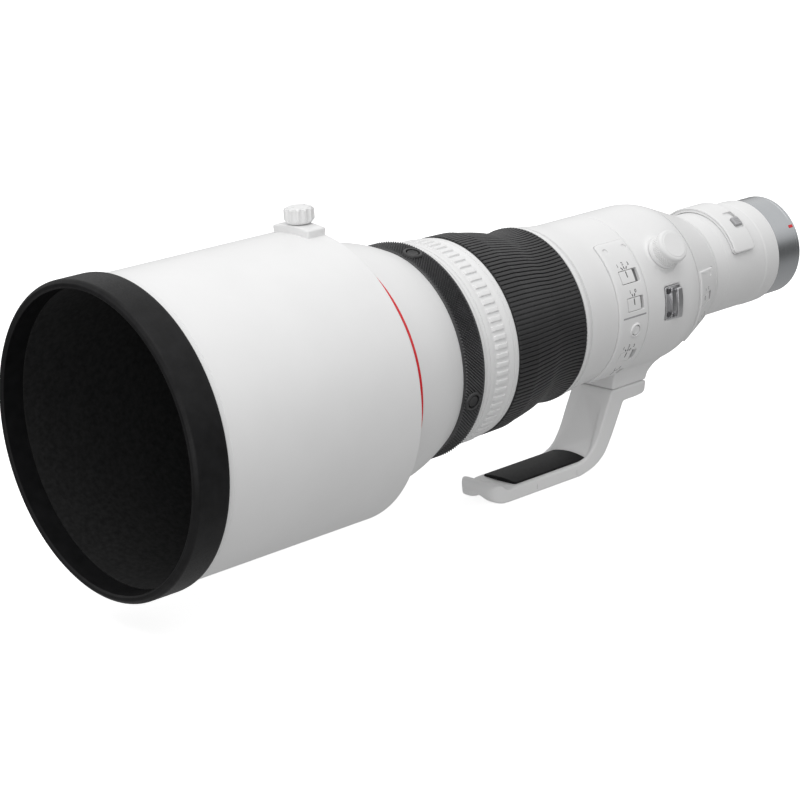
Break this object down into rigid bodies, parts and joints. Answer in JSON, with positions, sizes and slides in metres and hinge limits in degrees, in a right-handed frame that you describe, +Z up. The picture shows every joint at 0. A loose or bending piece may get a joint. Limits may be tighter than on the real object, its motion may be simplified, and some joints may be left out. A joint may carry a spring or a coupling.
{
  "type": "telephoto camera lens",
  "caption": "White super-telephoto camera lens with deep hood, ribbed control rings, switch panels, drop-in filter, rotating tripod collar and long foot.",
  "frame": {"origin": "centre of the rear mount's flange face, on the optical axis", "axes": "+Y along the optical axis out of the rear mount, front of the lens towards -Y; +Z up; +X the side with the switch panel"},
  "size_m": [0.1952, 0.6118, 0.2284],
  "materials": {
    "white_paint": "satin",
    "red_paint": "gloss",
    "black_anodised": "matte",
    "black_rubber": "satin",
    "black_plastic": "matte",
    "black_flock": "matte",
    "coated_glass": "coated",
    "clear_glass": "polished",
    "mount_steel": "brushed",
    "dark_steel": "satin",
    "lug_steel": "satin",
    "gold_contacts": "polished",
    "bearing_brass": "satin",
    "motor_metal": "satin",
    "white_plastic": "satin",
    "grey_plastic": "satin",
    "circuit_green": "satin"
  },
  "bodies": {
    "barrel": {"front_barrel": "white_paint", "red_accent_ring": "red_paint", "front_retaining_ring": "black_anodised", "front_lens_cell": "black_anodised", "front_lens_group": "coated_glass", "grip_ring": "black_rubber", "main_tube": "black_anodised", "mid_barrel": "white_paint", "switch_panel": "white_paint", "panel_screws": "white_paint", "rear_cone": "white_paint", "rear_switch_panel": "white_paint", "rear_barrel": "white_paint", "mount_ring": "mount_steel", "mount_screws": "dark_steel", "bayonet_ring": "dark_steel", "contact_block": "black_plastic", "contact_pins": "gold_contacts", "focus_motor_stator": "motor_metal", "aperture_housing": "black_plastic", "rear_lens_cell": "black_anodised", "rear_lens_group": "coated_glass", "circuit_board": "circuit_green"},
    "hood": {"hood_tube": "white_paint", "hood_front_rubber": "black_rubber", "hood_lining": "black_flock", "hood_knob_saddle": "white_paint"},
    "hood_knob": {"hood_lock_knob": "white_plastic", "hood_clamp_screw": "dark_steel"},
    "function_ring": {"function_ring": "white_paint"},
    "focus_ring": {"focus_ring_sleeve": "black_anodised", "focus_ring_rubber": "black_rubber"},
    "collar": {"collar_housing": "white_paint", "collar_liner": "bearing_brass", "strap_lugs": "lug_steel", "collar_screws": "dark_steel", "foot": "white_paint", "foot_pad": "black_rubber"},
    "collar_knob": {"collar_lock_knob": "white_plastic"},
    "filter_holder": {"filter_holder": "white_paint", "filter_glass": "clear_glass"},
    "filter_tab_right": {"filter_tab_right": "grey_plastic"},
    "filter_tab_left": {"filter_tab_left": "grey_plastic"},
    "focus_cell": {"focus_cell": "black_anodised", "focus_lens_group": "coated_glass"},
    "focus_rotor": {"focus_motor_rotor": "motor_metal"},
    "stabilizer_carrier": {"stabilizer_carrier": "black_plastic"},
    "stabilizer_cell": {"stabilizer_cell": "black_plastic", "stabilizer_lens": "coated_glass"},
    "af_button_1": {"af_button_1": "black_rubber"},
    "af_button_2": {"af_button_2": "black_rubber"},
    "af_button_3": {"af_button_3": "black_rubber"},
    "af_button_4": {"af_button_4": "black_rubber"},
    "stabilizer_mode_slider": {"stabilizer_mode_slider": "white_plastic"},
    "stabilizer_switch_slider": {"stabilizer_switch_slider": "white_plastic"},
    "focus_preset_slider": {"focus_preset_slider": "white_plastic"},
    "focus_speed_slider": {"focus_speed_slider": "white_plastic"},
    "set_button": {"set_button": "grey_plastic"},
    "focus_mode_slider": {"focus_mode_slider": "white_plastic"},
    "focus_range_slider": {"focus_range_slider": "white_plastic"}
  },
  "joints": [
    {"name": "hood_slide", "type": "slide", "parent": "barrel", "child": "hood", "axis": [0, -1, 0], "range_m": [0, 0.03]},
    {"name": "hood_knob_turn", "type": "hinge", "parent": "hood", "child": "hood_knob", "pos_m": [0, -0.4385, 0.0999], "axis": [0, 0, 1], "range_deg": [-360, 0]},
    {"name": "function_ring_twist", "type": "hinge", "parent": "barrel", "child": "function_ring", "pos_m": [0, -0.337, 0], "axis": [0, 1, 0], "range_deg": [-12, 12], "stiffness_Nm_per_rad": 0.8},
    {"name": "focus_ring_turn", "type": "hinge", "parent": "barrel", "child": "focus_ring", "pos_m": [0, -0.285, 0], "axis": [0, 1, 0], "continuous": true},
    {"name": "collar_turn", "type": "hinge", "parent": "barrel", "child": "collar", "pos_m": [0, -0.155, 0], "axis": [0, 1, 0], "continuous": true},
    {"name": "collar_knob_turn", "type": "hinge", "parent": "collar", "child": "collar_knob", "pos_m": [0.0475, -0.1614, 0.03204], "axis": [0.829, 0, 0.5592], "range_deg": [0, 180]},
    {"name": "filter_holder_lift", "type": "slide", "parent": "barrel", "child": "filter_holder", "axis": [0, 0, 1], "range_m": [0, 0.07]},
    {"name": "filter_tab_right_slide", "type": "hinge", "parent": "filter_holder", "child": "filter_tab_right", "pos_m": [0, -0.059, 0], "axis": [0, 1, 0], "range_deg": [-8, 0], "stiffness_Nm_per_rad": 0.8},
    {"name": "filter_tab_left_slide", "type": "hinge", "parent": "filter_holder", "child": "filter_tab_left", "pos_m": [0, -0.059, 0], "axis": [0, 1, 0], "range_deg": [0, 8], "stiffness_Nm_per_rad": 0.8},
    {"name": "af_button_1_press", "type": "slide", "parent": "barrel", "child": "af_button_1", "axis": [-0.284, 0, -0.9588], "range_m": [0, 0.0006], "stiffness_N_per_m": 900},
    {"name": "af_button_2_press", "type": "slide", "parent": "barrel", "child": "af_button_2", "axis": [-0.9588, 0, 0.284], "range_m": [0, 0.0006], "stiffness_N_per_m": 900},
    {"name": "af_button_3_press", "type": "slide", "parent": "barrel", "child": "af_button_3", "axis": [0.284, 0, 0.9588], "range_m": [0, 0.0006], "stiffness_N_per_m": 900},
    {"name": "af_button_4_press", "type": "slide", "parent": "barrel", "child": "af_button_4", "axis": [0.9588, 0, -0.284], "range_m": [0, 0.0006], "stiffness_N_per_m": 900},
    {"name": "stabilizer_mode_slider_move", "type": "slide", "parent": "barrel", "child": "stabilizer_mode_slider", "axis": [0, 1, 0], "range_m": [0, 0.004]},
    {"name": "stabilizer_switch_slider_move", "type": "slide", "parent": "barrel", "child": "stabilizer_switch_slider", "axis": [0, 1, 0], "range_m": [0, 0.0026]},
    {"name": "focus_preset_slider_move", "type": "slide", "parent": "barrel", "child": "focus_preset_slider", "axis": [0, 1, 0], "range_m": [0, 0.004]},
    {"name": "focus_speed_slider_move", "type": "slide", "parent": "barrel", "child": "focus_speed_slider", "axis": [0, 1, 0], "range_m": [0, 0.004]},
    {"name": "set_button_press", "type": "slide", "parent": "barrel", "child": "set_button", "axis": [-0.9759, 0, 0.2181], "range_m": [0, 0.0005], "stiffness_N_per_m": 900},
    {"name": "focus_mode_slider_move", "type": "slide", "parent": "barrel", "child": "focus_mode_slider", "axis": [-0.3691, 0.9269, 0.0677], "range_m": [0, 0.0026]},
    {"name": "focus_range_slider_move", "type": "slide", "parent": "barrel", "child": "focus_range_slider", "axis": [-0.3147, 0.9269, 0.2044], "range_m": [0, 0.0026]},
    {"name": "focus_travel", "type": "slide", "parent": "barrel", "child": "focus_cell", "axis": [0, 1, 0], "range_m": [0, 0.018]},
    {"name": "focus_motor_turn", "type": "hinge", "parent": "barrel", "child": "focus_rotor", "pos_m": [0, -0.261, 0], "axis": [0, 1, 0], "range_deg": [0, 120]},
    {"name": "stabilizer_shift_x", "type": "slide", "parent": "barrel", "child": "stabilizer_carrier", "axis": [1, 0, 0], "range_m": [-0.0015, 0.0015], "stiffness_N_per_m": 4000},
    {"name": "stabilizer_shift_z", "type": "slide", "parent": "stabilizer_carrier", "child": "stabilizer_cell", "axis": [0, 0, 1], "range_m": [-0.0015, 0.0015], "stiffness_N_per_m": 6000}
  ],
  "couplings": [
    {"joint": "focus_motor_turn", "follows": "focus_travel", "rad_per_m": 116.34}
  ]
}
